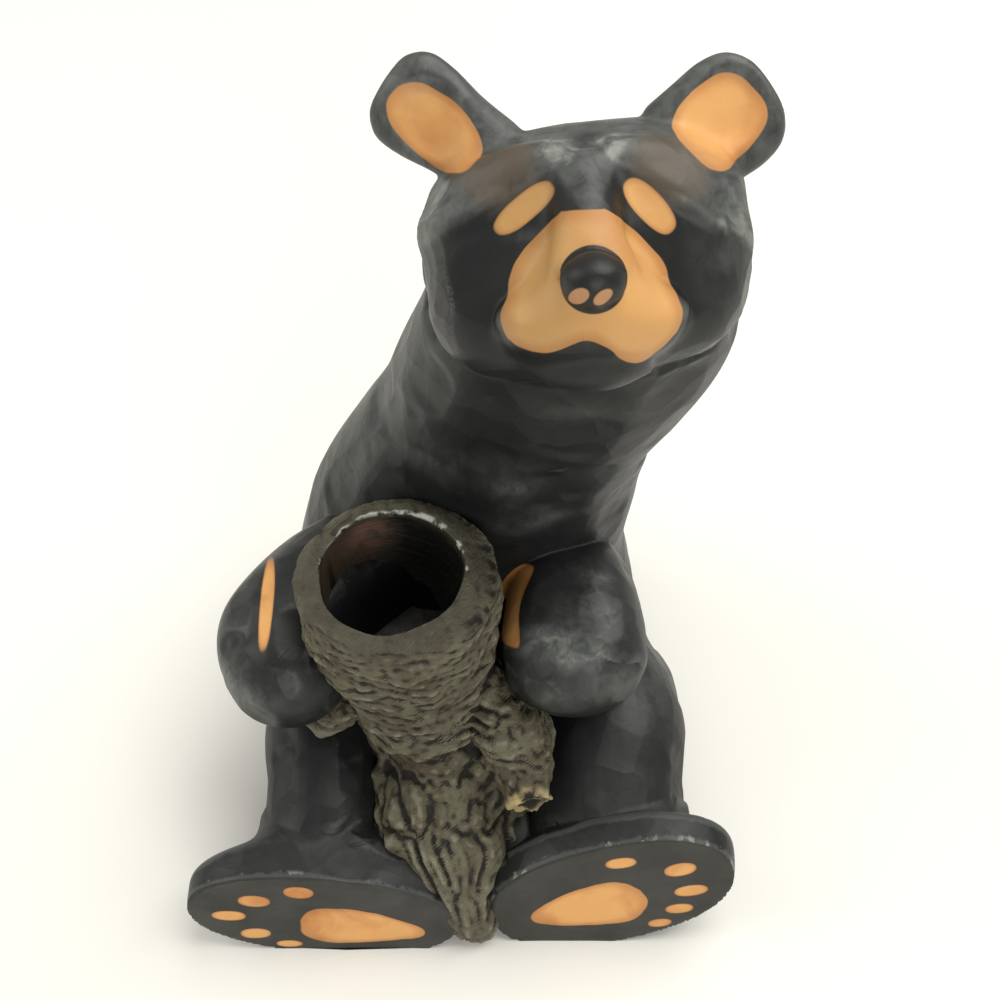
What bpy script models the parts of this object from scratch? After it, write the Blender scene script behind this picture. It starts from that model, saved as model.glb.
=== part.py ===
"""Bear figurine candle holder: a seated bear that hugs a hollow stump, cast in one piece.

The pose and the carving are given in shares of the figure's height. The candle socket and its
wall are real sizes of their own, and the stump and the paws that hold it follow them.
"""

import math

import bmesh
import bpy
import numpy as np
from mathutils import Matrix, Vector

# Driving dimensions, in metres
FIGURE_HEIGHT = 0.1392
SOCKET_DIAMETER = 0.023
SOCKET_DEPTH = 0.027
SOCKET_WALL = 0.0042

# The pose is drawn on a figure this many shares tall
SHARES_TALL = 136.3
SHARE = FIGURE_HEIGHT / SHARES_TALL

# How finely the forms are fused into one skin, in shares
SKIN_VOXEL = 0.85
SKIN_SMOOTHING = 5
SKIN_SWELL = 0.3
KEPT_FACES = 0.056
BELOW_GROUND = -4.0

# Stump, in shares: its outer radius round the socket, the extra bark on the side of the right paw,
# where its back touches the chest, the axis where the candle stands, and the socket's mouth
STUMP_RADIUS = (SOCKET_DIAMETER / 2 + SOCKET_WALL) / SHARE
EXTRA_BARK = 1.0
CHEST_TOUCH = 15.4
STUMP_X = -13.6
STUMP_Y = CHEST_TOUCH - STUMP_RADIUS
MOUTH_HEIGHT = 65.0

# Head, in shares and degrees: its centre, how far it looks up and how far it tips over
HEAD_CENTRE = (15.0, 15.0, 120.2)
HEAD_LIFT = 38.0
HEAD_TIP = 3.5

# Soles, in shares: each is an oval on a plane that leans back from the ground.
# Its middle (across, up), half length, half height and rise towards the toes in degrees,
# first where the foot is widest and then on the flat, past the rounded rim
LEFT_FOOT = ((-27.0, 9.1), 24.2, 10.8, -7.0)
RIGHT_FOOT = ((22.7, 11.8), 22.7, 12.0, 19.5)
LEFT_SOLE = ((-28.0, 9.3), 22.9, 10.3, -8.1)
RIGHT_SOLE = ((23.6, 12.1), 20.9, 11.5, 17.1)
FOOT_SQUARENESS = 2.05
SOLE_SQUARENESS = 2.3
SOLE_RIM = 4.2
FOOT_REACH = 20.0
HEELS_MEET = 3.0
LEFT_FRONT, LEFT_LEAN = -39.0, 0.27
RIGHT_FRONT, RIGHT_LEAN = -37.7, 0.34
CLEAR_OF_SOLE = 70.0

# Knees: how far out from the middle each one starts and ends, in shares
LEFT_KNEE = (17.0, 40.0)
RIGHT_KNEE = (8.0, 38.4)

# Muzzle, in the head's own shares: a pear shape, narrow at the eyes and broad at the mouth
MUZZLE_MIDDLE = (-0.7, -5.2)
MUZZLE_HALF_WIDTH, MUZZLE_HALF_HEIGHT = 7.6, 8.8
MUZZLE_PEAR = 0.72
MUZZLE_BASE, MUZZLE_TIP = 1.0, 20.8
NOSE_PLACE = (-1.0, -3.9)

# Ears, in the head's own shares: root, tip and the half widths from one to the other
LEFT_EAR = ((-11.2, 9.6), (-24.6, 20.3), (5.2, 5.4, 6.1, 6.0, 4.0, 1.2))
RIGHT_EAR = ((11.4, 8.8), (23.8, 16.9), (6.9, 7.2, 7.4, 6.5, 4.0, 1.2))
EAR_BACK = 3.0


def clear_scene():
    for thing in list(bpy.data.objects):
        bpy.data.objects.remove(thing, do_unlink=True)


def new_collection(name):
    collection = bpy.data.collections.new(name)
    bpy.context.scene.collection.children.link(collection)
    return collection


def resin(name, colour, roughness):
    material = bpy.data.materials.new(name)
    material.use_nodes = True
    shader = material.node_tree.nodes["Principled BSDF"]
    shader.inputs["Base Color"].default_value = (*colour, 1.0)
    shader.inputs["Roughness"].default_value = roughness
    shader.inputs["Metallic"].default_value = 0.0
    return material


def smooth_between(values, count):
    """Catmull-Rom values at `count` even steps through the rows of `values`."""
    rows = np.asarray(values, float)
    padded = np.vstack([2 * rows[0] - rows[1], rows, 2 * rows[-1] - rows[-2]])
    at = np.linspace(0, len(rows) - 1, count)
    start = np.minimum(at.astype(int), len(rows) - 2)
    t = (at - start)[:, None]
    before, first, last, after = (padded[start + k] for k in range(4))
    return 0.5 * (
        2 * first
        + (last - before) * t
        + (2 * before - 5 * first + 4 * last - after) * t**2
        + (3 * first - before - 3 * last + after) * t**3
    )


def skin_over(forms, rings, place=Matrix()):
    """Joins rings of points into one closed form."""
    grid = [[forms.verts.new(place @ Vector(point)) for point in ring] for ring in rings]
    count = len(grid[0])
    for lower, upper in zip(grid, grid[1:]):
        for k in range(count):
            forms.faces.new((lower[k], lower[k - 1], upper[k - 1], upper[k]))
    forms.faces.new(grid[0])
    forms.faces.new(grid[-1][::-1])


def loft(forms, stations, deep_axis, rings=28, sides=28, place=Matrix()):
    """A limb through stations of (x, y, z, half width, half depth, squareness), in shares.

    The depth of a section lies along deep_axis, as square to the limb's path as it can be.
    """
    rows = smooth_between(stations, rings)
    centres = rows[:, :3]
    path = np.gradient(centres, axis=0)
    path /= np.linalg.norm(path, axis=1)[:, None]
    deep = np.asarray(deep_axis, float) - path * (path @ np.asarray(deep_axis, float))[:, None]
    deep /= np.linalg.norm(deep, axis=1)[:, None]
    across = np.cross(deep, path)
    angle = np.linspace(0, 2 * math.pi, sides, endpoint=False)
    power = 2 / np.maximum(rows[:, 5:6], 1.0)
    wide = np.sign(np.cos(angle)) * np.abs(np.cos(angle)) ** power * np.maximum(rows[:, 3:4], 0.05)
    thick = np.sign(np.sin(angle)) * np.abs(np.sin(angle)) ** power * np.maximum(rows[:, 4:5], 0.05)
    points = centres[:, None] + wide[..., None] * across[:, None] + thick[..., None] * deep[:, None]
    skin_over(forms, points, place)


def oval(half_long, half_high, squareness, sides):
    """A rounded outline about its own middle: 2 makes an ellipse and more squares it off."""
    angle = np.linspace(0, 2 * math.pi, sides, endpoint=False)
    power = 2 / squareness
    along = np.sign(np.cos(angle)) * np.abs(np.cos(angle)) ** power
    up = np.sign(np.sin(angle)) * np.abs(np.sin(angle)) ** power
    return np.column_stack([half_long * along, half_high * up])


def turned(outline, degrees):
    c, s = math.cos(math.radians(degrees)), math.sin(math.radians(degrees))
    return outline @ np.array([[c, s], [-s, c]])


def ellipsoid(forms, centre, radii, place=Matrix()):
    stretch = Matrix.Diagonal((*radii, 1.0))
    bmesh.ops.create_uvsphere(
        forms,
        u_segments=32,
        v_segments=20,
        radius=1.0,
        matrix=place @ Matrix.Translation(centre) @ stretch,
    )


def head_frame():
    """Carries the head's own axes, +X across, +Y up the face and +Z out of the snout, to the figure's."""
    lift = math.radians(HEAD_LIFT)
    across = Vector((1, 0, 0))
    up = Vector((0, math.sin(lift), math.cos(lift)))
    out = Vector((0, -math.cos(lift), math.sin(lift)))
    lifted = Matrix((across, up, out)).transposed().to_4x4()
    tip = Matrix.Rotation(math.radians(HEAD_TIP), 4, out)
    return Matrix.Translation(HEAD_CENTRE) @ tip @ lifted


def add_torso(forms):
    """Broad at the seat and drawn in to the neck, leaning towards the head."""
    stations = [
        (-2.0, 27.0, BELOW_GROUND, 31.0, 21.0, 2.1),
        (-2.2, 29.0, 6.0, 33.8, 24.5, 2.1),
        (-3.4, 30.5, 22.0, 32.9, 24.5, 2.1),
        (-2.1, 31.0, 38.0, 30.1, 22.0, 2.05),
        (2.9, 30.5, 56.0, 26.3, 19.0, 2.05),
        (6.3, 29.5, 67.5, 23.6, 18.0, 2.05),
        (9.2, 27.5, 78.5, 22.7, 17.2, 2.05),
        (12.9, 25.0, 89.0, 22.7, 16.4, 2.05),
        (16.0, 22.5, 100.0, 22.4, 15.5, 2.05),
        (16.2, 20.0, 110.0, 19.9, 14.2, 2.1),
        (15.0, 18.0, 118.0, 14.0, 12.0, 2.1),
    ]
    loft(forms, stations, (0, 1, 0), rings=40, sides=36)
    ellipsoid(forms, (-22.8, 4.0, 12.5), (14.5, 17.0, 13.4))
    ellipsoid(forms, (22.1, 4.0, 12.0), (16.1, 17.0, 13.2))
    ellipsoid(forms, (6.5, -19.0, 6.0), (7.0, 12.0, 8.0))
    ellipsoid(forms, (-2.0, 53.0, 13.0), (5.0, 4.5, 5.5))


def add_leg(forms, side, foot, sole, front, lean, knee):
    """A thigh and shin that flare into a foot with a rounded rim and a flat sole, stood on its long side.

    front is where the sole would meet the ground, and lean how far it falls back as it rises.
    """
    inner, outer = knee
    middle, half = side * 0.5 * (inner + outer), 0.5 * (outer - inner)
    thigh = [
        (side * 15.0, 34.0, 13.0, 13.0, 13.6, 2.1),
        (side * 19.5, 15.0, 12.8, 13.5, 13.2, 2.2),
        (middle, -1.0, 13.5, half, 14.2, 2.2),
        (middle, -13.0, 12.0, half - 1.0, 12.5, 2.2),
        (middle, -24.0, 10.5, half - 1.0, 10.5, 2.2),
    ]
    loft(forms, thigh, (0, 0, 1), rings=26, sides=32)
    outlines = []
    for (centre, half_long, half_high, rise), squareness in (
        (((middle, 10.5), half, 10.5, foot[3]), 2.0),
        (foot, FOOT_SQUARENESS),
        (sole, SOLE_SQUARENESS),
    ):
        outlines.append(np.array(centre) + turned(oval(half_long, half_high, squareness, 48), rise))
    ankle, widest, flat_edge = outlines
    rings = []
    full = 1 - SOLE_RIM / FOOT_REACH
    for t in np.append(np.linspace(0, full, 14), full + (1 - full) * np.array([0.35, 0.65, 0.85, 1.0])):
        s = min(t / full, 1.0)
        grown = (s * s * (3 - 2 * s)) ** 1.8
        rounding = 1 - math.sqrt(1 - max((t - full) / (1 - full), 0.0) ** 2)
        flat = (1 - grown) * ankle + grown * ((1 - rounding) * widest + rounding * flat_edge)
        depth = front + (1 - t) * FOOT_REACH + grown * lean * flat[:, 1]
        rings.append(np.stack([flat[:, 0], depth, flat[:, 1]], 1))
    skin_over(forms, rings)


def add_arm(forms, joints, paw):
    """A short thick arm through (x, y, z, half width, half height) joints, with a paw at the last of them."""
    stations = [(*joint, 2.4) for joint in joints]
    loft(forms, stations, (0, 0.3, 1), rings=24, sides=28)
    ellipsoid(forms, joints[0][:3], (joints[0][3],) * 3)
    ellipsoid(forms, joints[-1][:3], paw)


def add_stump(forms):
    """A log waisted below its mouth, thicker towards the paw that holds it on the right."""
    wide, deep = STUMP_RADIUS + EXTRA_BARK, STUMP_RADIUS
    stations = [
        (STUMP_X + 6.6, STUMP_Y - 6.0, BELOW_GROUND, 1.04 * wide, 1.12 * deep, 2.0),
        (STUMP_X + 6.6, STUMP_Y - 5.0, 8.0, 0.96 * wide, 1.04 * deep, 2.0),
        (STUMP_X + 5.6, STUMP_Y - 3.0, 22.0, 0.86 * wide, 0.96 * deep, 2.0),
        (STUMP_X + 4.0, STUMP_Y - 1.5, 33.0, 0.81 * wide, 0.93 * deep, 2.0),
        (STUMP_X + 2.6, STUMP_Y - 0.6, 40.0, 0.86 * wide, 0.95 * deep, 2.0),
        (STUMP_X + EXTRA_BARK, STUMP_Y, 50.0, wide, deep, 2.0),
        (STUMP_X + EXTRA_BARK, STUMP_Y, 60.0, wide, deep, 2.0),
        (STUMP_X + 0.8 * EXTRA_BARK, STUMP_Y, MOUTH_HEIGHT, 0.97 * wide, 0.98 * deep, 2.0),
    ]
    loft(forms, stations, (0, 1, 0), rings=34, sides=36)


def add_buttress(forms):
    """The root that runs forward from the stump's foot and ends in a point between the heels."""
    stations = [
        (STUMP_X + 7.2, STUMP_Y - 6.0, 12.0, 0.9 * STUMP_RADIUS + EXTRA_BARK, 17.0, 2.0),
        (STUMP_X + 6.8, -16.0, 10.5, 14.6, 14.6, 2.0),
        (-5.0, -25.0, 8.0, 11.6, 11.4, 2.0),
        (-2.5, -31.0, 5.0, 7.6, 8.2, 2.0),
        (0.4, -35.0, 2.5, 4.4, 4.5, 2.0),
        (1.8, -36.6, 1.0, 1.8, 2.0, 2.0),
    ]
    loft(forms, stations, (0, 0, 1), rings=24, sides=28)


def add_head(forms, frame):
    skull = [
        (-0.1, -2.0, -20.0, 6.0, 5.0, 2.2),
        (-0.1, -3.0, -15.0, 15.5, 12.5, 2.5),
        (-0.1, -2.9, -6.0, 21.0, 16.6, 2.8),
        (-0.1, -3.2, 0.0, 21.4, 15.9, 2.8),
        (-0.1, -3.6, 5.0, 19.6, 14.4, 2.6),
        (-0.1, -3.8, 8.6, 15.5, 11.6, 2.4),
        (-0.1, -4.0, 11.0, 9.0, 7.0, 2.2),
    ]
    loft(forms, skull, (-0.09, 1, 0), rings=30, sides=36, place=frame)
    for side in (-1, 1):
        brow = [
            (side * 1.5 - 0.6, 8.6, 6.0, 3.0, 2.6, 2.0),
            (side * 7.5 - 0.6, 7.6, 5.6, 3.8, 3.2, 2.0),
            (side * 13.6 - 0.6, 4.4, 3.0, 4.6, 3.2, 2.0),
            (side * 16.6 - 0.6, 1.0, -0.6, 3.6, 2.6, 2.0),
        ]
        loft(forms, brow, (0, 0, 1), rings=14, sides=16, place=frame)
        ellipsoid(forms, (side * 5.4 - 0.6, -9.6, 9.0), (6.4, 5.0, 8.4), frame)
    bridge = [
        (-0.8, 9.0, 6.8, 4.4, 2.8, 2.0),
        (-0.9, 4.5, 10.4, 4.6, 3.2, 2.0),
        (-1.0, 0.0, 14.4, 4.8, 3.4, 2.0),
        (-1.1, -4.0, 17.6, 5.2, 3.4, 2.0),
    ]
    loft(forms, bridge, (0, 1, 1), rings=14, sides=18, place=frame)
    middle = np.array(MUZZLE_MIDDLE)
    rim = oval(MUZZLE_HALF_WIDTH, MUZZLE_HALF_HEIGHT, 2.4, 36)
    rim[:, 0] *= 1 - MUZZLE_PEAR * rim[:, 1] / MUZZLE_HALF_HEIGHT
    tip = np.array(NOSE_PLACE) - (0, 2.3)
    rings = []
    for out in MUZZLE_BASE + (MUZZLE_TIP - MUZZLE_BASE) * np.linspace(0, 1, 12) ** 0.7:
        share = 1.2 * (1 - ((out - MUZZLE_BASE) / (MUZZLE_TIP - MUZZLE_BASE + 0.3)) ** 2.6) ** 0.6
        flat = middle + (1 - min(share, 1.0)) * (tip - middle) + share * rim
        rings.append(np.column_stack([flat, np.full(len(flat), out)]))
    skin_over(forms, rings, frame)
    ellipsoid(forms, (-0.5, -15.0, 5.0), (9.0, 4.2, 8.0), frame)
    ellipsoid(forms, (*NOSE_PLACE, 20.6), (3.6, 3.3, 3.5), frame)


def add_ear(forms, frame, root, tip, widths):
    """A thick rounded ear, from its root in the skull out to its tip."""
    root, tip = np.array(root, float), np.array(tip, float)
    stations = []
    for share, wide, thick in zip((0.0, 0.35, 0.62, 0.84, 0.97, 1.0), widths, (4.0, 3.5, 3.0, 2.7, 2.0, 0.8)):
        stations.append((*(root + share * (tip - root)), -EAR_BACK, wide, thick, 2.1))
    loft(forms, stations, (0, 0, 1), rings=22, sides=24, place=frame)


def add_arms(forms):
    """Each paw rests against its own side of the stump."""
    left = STUMP_X - STUMP_RADIUS
    right = STUMP_X + STUMP_RADIUS + 2 * EXTRA_BARK
    left_arm = (
        (left + 10.8, 18.0, 42.4, 10.2, 10.2),
        (left + 1.8, 9.5, 43.6, 10.6, 10.6),
        (left - 3.6, 0.5, 43.0, 11.5, 11.5),
        (left - 3.4, -3.8, 42.6, 10.9, 10.9),
    )
    right_arm = (
        (right + 12.5, 19.0, 36.5, 9.0, 9.0),
        (right + 12.6, 9.0, 41.4, 11.2, 10.8),
        (right + 12.6, -1.0, 42.6, 12.4, 11.2),
        (right + 12.4, -3.6, 42.0, 12.0, 10.6),
    )
    add_arm(forms, left_arm, (10.9, 10.9, 10.9))
    add_arm(forms, right_arm, (12.0, 8.6, 10.6))


def add_branches(forms):
    """A lopped branch that droops down the stump's right side, and a broken spur on its left."""
    right = STUMP_X + STUMP_RADIUS
    left = STUMP_X - STUMP_RADIUS
    front = STUMP_Y - STUMP_RADIUS
    branch = [
        (right - 1.2, front + 11.3, 39.0, 3.0, 3.0, 2.3),
        (right + 1.8, front + 7.3, 35.0, 6.2, 4.6, 2.5),
        (right + 4.4, front + 3.3, 30.5, 7.4, 5.6, 2.5),
        (right + 6.0, front - 1.1, 26.5, 5.6, 4.8, 2.2),
        (right + 6.8, front - 4.9, 23.6, 3.9, 3.6, 2.0),
        (right + 7.0, front - 7.3, 22.2, 3.4, 3.1, 2.0),
    ]
    under_branch = [
        (right - 3.8, front + 11.3, 34.0, 8.0, 7.0, 2.0),
        (right - 0.3, front + 6.3, 24.0, 8.5, 7.5, 2.0),
        (right + 0.2, front + 2.3, 12.0, 10.0, 9.0, 2.0),
    ]
    spur = [
        (left + 9.0, front + 10.8, 36.0, 5.4, 4.0, 2.0),
        (left + 4.5, front + 8.9, 32.5, 4.6, 2.6, 2.0),
        (left + 1.0, front + 7.7, 29.4, 3.0, 1.6, 2.0),
        (left - 1.0, front + 7.0, 28.2, 1.0, 0.8, 2.0),
    ]
    loft(forms, branch, (0, 0.5, 1), rings=22, sides=20)
    loft(forms, under_branch, (0, 1, 0), rings=16, sides=20)
    loft(forms, spur, (0, 0.3, 1), rings=14, sides=16)


def figure_forms():
    """Every form of the casting, overlapping, in shares."""
    forms = bmesh.new()
    add_torso(forms)
    add_leg(forms, -1, LEFT_FOOT, LEFT_SOLE, LEFT_FRONT, LEFT_LEAN, LEFT_KNEE)
    add_leg(forms, 1, RIGHT_FOOT, RIGHT_SOLE, RIGHT_FRONT, RIGHT_LEAN, RIGHT_KNEE)
    add_arms(forms)
    add_stump(forms)
    add_buttress(forms)
    add_branches(forms)
    frame = head_frame()
    add_head(forms, frame)
    add_ear(forms, frame, *LEFT_EAR)
    add_ear(forms, frame, *RIGHT_EAR)
    return forms


def drum(name, radius, depth, centre, collection):
    bpy.ops.mesh.primitive_cylinder_add(vertices=64, radius=radius, depth=depth, location=centre)
    return as_cutter(bpy.context.object, name, collection)


def block(name, size, centre, collection):
    bpy.ops.mesh.primitive_cube_add(size=1, location=centre)
    cutter = bpy.context.object
    cutter.data.transform(Matrix.Diagonal((*size, 1.0)))
    return as_cutter(cutter, name, collection)


def sole_plane(side, front, lean, collection):
    """A leaning block whose back face is the flat of one sole."""
    size = CLEAR_OF_SOLE * SHARE
    cutter = block("sole " + ("left", "right")[side > 0], (size, 0.4 * size, 2 * size), (0, 0, 0), collection)
    tilt = Matrix.Rotation(-math.atan(lean), 4, "X")
    cutter.data.transform(Matrix.Translation(((0.5 * side * size) + HEELS_MEET * SHARE, -0.2 * size, 0)))
    cutter.data.transform(tilt)
    cutter.data.transform(Matrix.Translation((0, front * SHARE, 0)))
    return cutter


def as_cutter(cutter, name, collection):
    cutter.name = name
    cutter.hide_render = True
    cutter.display_type = "WIRE"
    for home in list(cutter.users_collection):
        home.objects.unlink(cutter)
    collection.objects.link(cutter)
    return cutter


def cut(body, cutter):
    modifier = body.modifiers.new("cut " + cutter.name, "BOOLEAN")
    modifier.operation = "DIFFERENCE"
    modifier.solver = "EXACT"
    modifier.object = cutter


def fuse(body):
    """One skin over all the forms, softened where they meet and thinned to a modest number of faces."""
    skin = body.modifiers.new("one skin", "REMESH")
    skin.mode = "VOXEL"
    skin.voxel_size = SKIN_VOXEL * SHARE
    swell = body.modifiers.new("make up for softening", "DISPLACE")
    swell.strength = SKIN_SWELL * SHARE
    swell.mid_level = 0.0
    soften = body.modifiers.new("soften", "SMOOTH")
    soften.factor = 0.5
    soften.iterations = int(round(SKIN_SMOOTHING))
    thin = body.modifiers.new("thin out", "DECIMATE")
    thin.ratio = KEPT_FACES
    thin.use_collapse_triangulate = True


def build():
    clear_scene()
    figure = new_collection("bear candle holder")
    cutters = new_collection("cutters")

    forms = figure_forms()
    bmesh.ops.recalc_face_normals(forms, faces=forms.faces)
    bmesh.ops.scale(forms, vec=(SHARE,) * 3, verts=forms.verts)
    mesh = bpy.data.meshes.new("bear_with_stump")
    forms.to_mesh(mesh)
    forms.free()
    mesh.materials.append(resin("painted resin", (0.02, 0.022, 0.025), 0.35))
    bear = bpy.data.objects.new("bear_with_stump", mesh)
    figure.objects.link(bear)
    fuse(bear)

    mouth = MOUTH_HEIGHT * SHARE
    above = 0.5 * SOCKET_DEPTH
    socket = drum(
        "candle socket",
        SOCKET_DIAMETER / 2,
        SOCKET_DEPTH + above,
        (STUMP_X * SHARE, STUMP_Y * SHARE, mouth - SOCKET_DEPTH + 0.5 * (SOCKET_DEPTH + above)),
        cutters,
    )
    cut(bear, socket)
    ground = block("ground", (3 * FIGURE_HEIGHT,) * 2 + (0.1,), (0, 0, -0.05), cutters)
    cut(bear, ground)
    for side, front, lean in ((-1, LEFT_FRONT, LEFT_LEAN), (1, RIGHT_FRONT, RIGHT_LEAN)):
        cut(bear, sole_plane(side, front, lean, cutters))


build()
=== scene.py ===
import math

import bpy
import numpy as np
from mathutils import Matrix, Vector


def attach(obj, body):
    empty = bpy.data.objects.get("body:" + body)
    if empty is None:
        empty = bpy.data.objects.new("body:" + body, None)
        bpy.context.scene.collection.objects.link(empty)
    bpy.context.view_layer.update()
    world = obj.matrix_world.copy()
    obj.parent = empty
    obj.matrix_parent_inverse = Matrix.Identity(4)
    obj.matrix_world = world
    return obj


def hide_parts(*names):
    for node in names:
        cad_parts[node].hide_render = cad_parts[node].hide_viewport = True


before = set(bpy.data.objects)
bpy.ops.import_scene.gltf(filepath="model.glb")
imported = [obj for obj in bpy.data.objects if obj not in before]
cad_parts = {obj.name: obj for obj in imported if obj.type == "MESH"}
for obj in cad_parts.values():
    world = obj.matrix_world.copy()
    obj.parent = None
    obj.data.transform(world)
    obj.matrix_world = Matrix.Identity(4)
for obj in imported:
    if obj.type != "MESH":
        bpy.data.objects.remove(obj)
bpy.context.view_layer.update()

# the pose is drawn in shares of the figure's height, as the CAD's is
share = 0.1392 / 136.3
socket = {"radius": 0.0115 / share, "depth": 0.027 / share, "wall": 0.0042 / share, "mouth": 65.0}
stump = {"x": -13.6, "radius": socket["radius"] + socket["wall"], "chest": 15.4, "bark": 1.0}
stump["y"] = stump["chest"] - stump["radius"]
# places on the head are across, up the face and out of the snout, counted from its centre
head = {"centre": (15.0, 15.0, 120.2), "lift": 38.0, "tip": 3.5, "middle": -0.6, "nose": (-1.0, -3.9, 20.6)}


# shapes as whole arrays

def smoothRows(rows, count):
    # Catmull-Rom: each value is a cubic through four neighbouring rows
    rows = np.asarray(rows, float)
    padded = np.vstack([2 * rows[0] - rows[1], rows, 2 * rows[-1] - rows[-2]])
    at = np.linspace(0, len(rows) - 1, count)
    start = np.minimum(at.astype(int), len(rows) - 2)
    t = (at - start)[:, None]
    before, first, last, after = (padded[start + k] for k in range(4))
    return 0.5 * (2 * first + (last - before) * t + (2 * before - 5 * first + 4 * last - after) * t**2
                  + (3 * first - before - 3 * last + after) * t**3)


def closedRings(rings):
    # rings of points joined row by row, each end closed by a fan to its own middle
    rings = np.asarray(rings, float)
    rows, sides = rings.shape[:2]
    index = np.arange(rows * sides).reshape(rows, sides)
    following = np.roll(index, -1, axis=1)
    lower = np.stack([index[:-1], following[:-1], following[1:]], -1).reshape(-1, 3)
    upper = np.stack([index[:-1], following[1:], index[1:]], -1).reshape(-1, 3)
    start = np.full(sides, rows * sides)
    startFan = np.stack([following[0], index[0], start], -1)
    endFan = np.stack([index[-1], following[-1], start + 1], -1)
    points = np.vstack([rings.reshape(-1, 3), rings[0].mean(0), rings[-1].mean(0)])
    return points, np.vstack([lower, upper, startFan, endFan])


def anglesOf(count):
    return np.linspace(0, 2 * math.pi, count, endpoint=False)


def superCircle(angle, squareness):
    # a circle pressed towards a square: cos and sin to the power 2 / squareness
    power = 2 / np.maximum(squareness, 1.0)
    return (np.sign(np.cos(angle)) * np.abs(np.cos(angle)) ** power,
            np.sign(np.sin(angle)) * np.abs(np.sin(angle)) ** power)


def limb(stations, deepAxis, rings=40, sides=44):
    # a section (half width, half depth, squareness) carried along a smooth path of centres
    rows = smoothRows(stations, rings)
    path = np.gradient(rows[:, :3], axis=0)
    path /= np.linalg.norm(path, axis=1)[:, None]
    deep = np.asarray(deepAxis, float) - path * (path @ np.asarray(deepAxis, float))[:, None]
    deep /= np.linalg.norm(deep, axis=1)[:, None]
    across = np.cross(deep, path)
    wide, thick = superCircle(anglesOf(sides), rows[:, 5:6])
    wide = wide * np.maximum(rows[:, 3:4], 0.05)
    thick = thick * np.maximum(rows[:, 4:5], 0.05)
    return closedRings(rows[:, None, :3] + wide[..., None] * across[:, None]
                       + thick[..., None] * deep[:, None])


def ball(centre, radii):
    # latitude rings: radius sin(t), height cos(t)
    t = np.linspace(0.06, math.pi - 0.06, 24)[:, None]
    a = anglesOf(36)[None]
    rings = np.stack([np.sin(t) * np.cos(a), np.sin(t) * np.sin(a), np.cos(t) + 0 * a], -1)
    return closedRings(rings * np.asarray(radii, float) + np.asarray(centre, float))


def placed(part, matrix):
    points, faces = part
    grid = np.array(matrix)
    return points @ grid[:3, :3].T + grid[:3, 3], faces


def gathered(parts):
    offset, points, faces = 0, [], []
    for partPoints, partFaces in parts:
        points.append(partPoints)
        faces.append(partFaces + offset)
        offset += len(partPoints)
    return np.vstack(points), np.vstack(faces)


def meshOf(name, points, faces):
    mesh = bpy.data.meshes.new(name)
    mesh.vertices.add(len(points))
    mesh.loops.add(faces.size)
    mesh.polygons.add(len(faces))
    mesh.vertices.foreach_set("co", (points * share).ravel())
    mesh.loops.foreach_set("vertex_index", faces.ravel().astype(np.int32))
    mesh.polygons.foreach_set("loop_start", np.arange(0, faces.size, faces.shape[1], dtype=np.int32))
    mesh.update(calc_edges=True)
    return mesh


def newObject(name, data):
    made = bpy.data.objects.new(name, data)
    bpy.context.scene.collection.objects.link(made)
    return made


def applied(name, mesh, modifiers):
    # runs modifiers on a mesh and hands back what they make
    helper = newObject(name, mesh)
    for kind, values in modifiers:
        modifier = helper.modifiers.new(kind, kind)
        for key, value in values.items():
            setattr(modifier, key, value)
    bpy.context.view_layer.update()
    made = bpy.data.meshes.new_from_object(helper.evaluated_get(bpy.context.evaluated_depsgraph_get()))
    bpy.data.objects.remove(helper)
    return made


def valuesOf(items, field, width, kind=np.float32):
    values = np.empty(len(items) * width, kind)
    items.foreach_get(field, values)
    return values.reshape(-1, width)


def pointsOf(mesh):
    return valuesOf(mesh.vertices, "co", 3).astype(float) / share


def normalsOf(mesh):
    return valuesOf(mesh.vertices, "normal", 3).astype(float)


def setPoints(mesh, points):
    mesh.vertices.foreach_set("co", (points * share).astype(np.float32).ravel())
    mesh.update()


def edgesOf(mesh):
    return valuesOf(mesh.edges, "vertices", 2, np.int32)


def spread(values, edges, times):
    # each pass replaces a value by the mean of its neighbours'
    count = np.bincount(edges.ravel(), minlength=len(values))
    for _ in range(times):
        total = (np.bincount(edges[:, 0], values[edges[:, 1]], len(values))
                 + np.bincount(edges[:, 1], values[edges[:, 0]], len(values)))
        values = total / np.maximum(count, 1)
    return values


def meansOf(points, edges):
    return np.stack([spread(points[:, k], edges, 1) for k in range(3)], -1)


def ridgeOf(points, normals, edges, times):
    # how far a point stands above the mean of its neighbours, along its normal
    bulge = np.einsum("ij,ij->i", points - meansOf(points, edges), normals)
    return spread(bulge, edges, times)


def addAttribute(mesh, name, values):
    layer = mesh.attributes.new(name, "FLOAT", "POINT")
    layer.data.foreach_set("value", values.astype(np.float32))


def smoothStep(low, high, values):
    t = np.clip((values - low) / (high - low), 0, 1)
    return t * t * (3 - 2 * t)


def bumpAt(points, centre, reach):
    # a bell that is 1 at the centre and fades over its reach
    return np.exp(-(((points - np.asarray(centre)) / np.asarray(reach)) ** 2).sum(1))


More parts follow.
